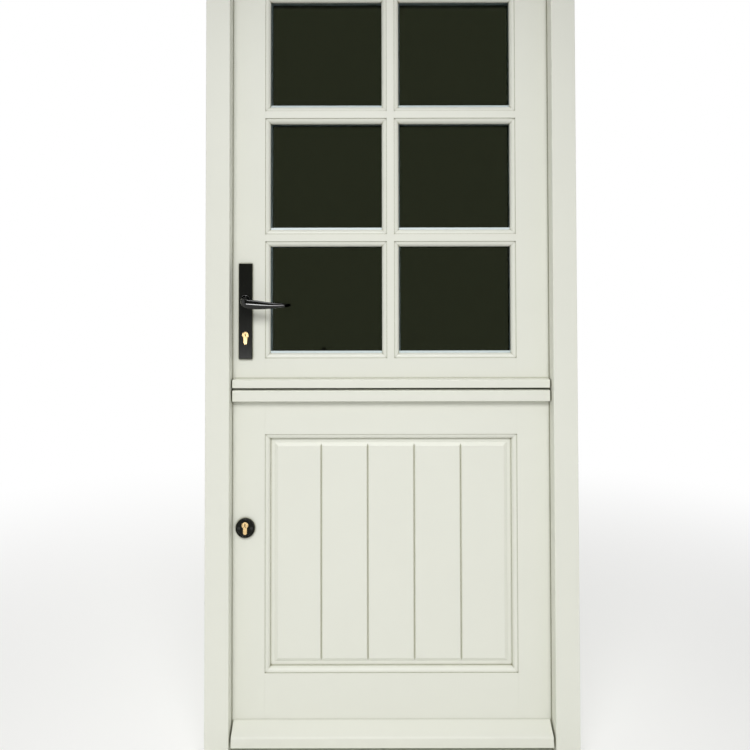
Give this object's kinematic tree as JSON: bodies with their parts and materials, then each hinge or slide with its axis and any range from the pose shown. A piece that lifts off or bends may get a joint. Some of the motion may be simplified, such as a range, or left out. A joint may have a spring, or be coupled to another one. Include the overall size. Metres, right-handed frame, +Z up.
{
  "type": "dutch stable door with frame",
  "caption": "Inward-opening timber stable door in its frame: glazed upper leaf, panelled lower leaf, lever lock, hook bolts, deadbolts and a bolt that joins the leaves.",
  "frame": {"origin": "centre of the sill's underside, in the plane of the frame's outer face", "axes": "+Z up, +X to the right seen from outside, +Y inward through the doorway"},
  "size_m": [0.956, 0.211, 2.162],
  "materials": {
    "frame_paint": "satin paint on joinery timber, pale sage cream",
    "leaf_paint": "satin paint on joinery timber, pale sage cream",
    "threshold_aluminium": "mill finish extrusion",
    "seal_rubber": "extruded rubber, matt",
    "glass": "float glass, clear",
    "spacer_aluminium": "rolled spacer, satin",
    "black_enamel": "satin black powder coat",
    "lock_steel": "zinc plated and brushed",
    "hinge_steel": "satin stainless steel",
    "screw_steel": "bright countersunk screws",
    "cylinder_brass": "polished brass",
    "bolt_enamel": "satin black powder coat"
  },
  "bodies": {
    "frame": {"jamb_lock": "frame_paint", "jamb_hinge": "frame_paint", "head": "frame_paint", "sill": "frame_paint", "threshold_strip": "threshold_aluminium", "frame_seal": "seal_rubber", "keep_upper": "lock_steel", "keep_lower": "lock_steel", "keep_hooks": "lock_steel", "hinge_frame_plates": "hinge_steel", "hinge_pins": "hinge_steel", "frame_screws": "screw_steel"},
    "upper_leaf": {"upper_stile_lock": "leaf_paint", "upper_stile_hinge": "leaf_paint", "top_rail": "leaf_paint", "upper_meeting_rail": "leaf_paint", "glazing_bar_upright": "leaf_paint", "glazing_bar_lower": "leaf_paint", "glazing_bar_upper": "leaf_paint", "glass_panes": "glass", "glass_spacers": "spacer_aluminium", "glazing_beads": "leaf_paint", "drip_bar_upper": "leaf_paint", "meeting_seal": "seal_rubber", "upper_lock_cases": "lock_steel", "upper_faceplate": "lock_steel", "upper_cylinder": "cylinder_brass", "backplate_outer": "black_enamel", "backplate_inner": "black_enamel", "plate_bolts": "lock_steel", "upper_hinge_plates": "hinge_steel", "upper_screws": "screw_steel", "join_bolt_plate": "bolt_enamel"},
    "lower_leaf": {"lower_stile_lock": "leaf_paint", "lower_stile_hinge": "leaf_paint", "lower_meeting_rail": "leaf_paint", "bottom_rail": "leaf_paint", "panel": "leaf_paint", "shelf_bar_lower": "leaf_paint", "weatherboard": "leaf_paint", "bottom_seal": "seal_rubber", "lower_lock_case": "lock_steel", "lower_faceplate": "lock_steel", "lower_cylinder": "cylinder_brass", "escutcheon_outer": "black_enamel", "escutcheon_inner": "black_enamel", "lower_hinge_plates": "hinge_steel", "lower_screws": "screw_steel", "join_bolt_keep": "bolt_enamel"},
    "lever": {"lever_outer": "black_enamel", "lever_inner": "black_enamel", "lever_spindle": "lock_steel"},
    "latch": {"latch_bolt": "lock_steel"},
    "upper_key_plug": {"upper_cylinder_plug": "cylinder_brass"},
    "upper_deadbolt": {"upper_deadbolt": "lock_steel"},
    "hook_upper": {"hook_bolt_upper": "lock_steel"},
    "hook_lower": {"hook_bolt_lower": "lock_steel"},
    "lower_key_plug": {"lower_cylinder_plug": "cylinder_brass"},
    "lower_deadbolt": {"lower_deadbolt": "lock_steel"},
    "join_bolt": {"join_bolt_rod": "bolt_enamel"}
  },
  "joints": [
    {"name": "upper_leaf_swing", "type": "hinge", "parent": "frame", "child": "upper_leaf", "pos_m": [0.4275, 0.105, 1.54], "axis": [0, 0, -1], "range_deg": [0, 110]},
    {"name": "lower_leaf_swing", "type": "hinge", "parent": "frame", "child": "lower_leaf", "pos_m": [0.4275, 0.105, 0.52], "axis": [0, 0, -1], "range_deg": [0, 110]},
    {"name": "lever_turn", "type": "hinge", "parent": "upper_leaf", "child": "lever", "pos_m": [-0.381, 0.07, 1.206], "axis": [0, 1, 0], "range_deg": [0, 40], "stiffness_Nm_per_rad": 1.6, "springref_deg": -20.05},
    {"name": "latch_slide", "type": "slide", "parent": "upper_leaf", "child": "latch", "axis": [1, 0, 0], "range_m": [0, 0.012]},
    {"name": "upper_key_turn", "type": "hinge", "parent": "upper_leaf", "child": "upper_key_plug", "pos_m": [-0.381, 0.07, 1.114], "axis": [0, 1, 0], "range_deg": [0, 360]},
    {"name": "upper_deadbolt_slide", "type": "slide", "parent": "upper_leaf", "child": "upper_deadbolt", "axis": [-1, 0, 0], "range_m": [0, 0.02]},
    {"name": "hook_upper_turn", "type": "hinge", "parent": "upper_leaf", "child": "hook_upper", "pos_m": [-0.411, 0.07, 1.76], "axis": [0, -1, 0], "range_deg": [0, 90]},
    {"name": "hook_lower_turn", "type": "hinge", "parent": "upper_leaf", "child": "hook_lower", "pos_m": [-0.411, 0.07, 1.4], "axis": [0, -1, 0], "range_deg": [0, 90]},
    {"name": "lower_key_turn", "type": "hinge", "parent": "lower_leaf", "child": "lower_key_plug", "pos_m": [-0.381, 0.07, 0.619], "axis": [0, 1, 0], "range_deg": [0, 360]},
    {"name": "lower_deadbolt_slide", "type": "slide", "parent": "lower_leaf", "child": "lower_deadbolt", "axis": [-1, 0, 0], "range_m": [0, 0.02]},
    {"name": "join_bolt_slide", "type": "slide", "parent": "upper_leaf", "child": "join_bolt", "axis": [0, 0, -1], "range_m": [0, 0.03]}
  ],
  "couplings": [
    {"joint": "latch_slide", "follows": "lever_turn", "m_per_rad": 0.01718},
    {"joint": "upper_key_turn", "follows": "upper_deadbolt_slide", "rad_per_m": 314.1},
    {"joint": "hook_upper_turn", "follows": "upper_deadbolt_slide", "rad_per_m": 78.5},
    {"joint": "hook_lower_turn", "follows": "upper_deadbolt_slide", "rad_per_m": 78.5},
    {"joint": "lower_key_turn", "follows": "lower_deadbolt_slide", "rad_per_m": 314.1}
  ]
}
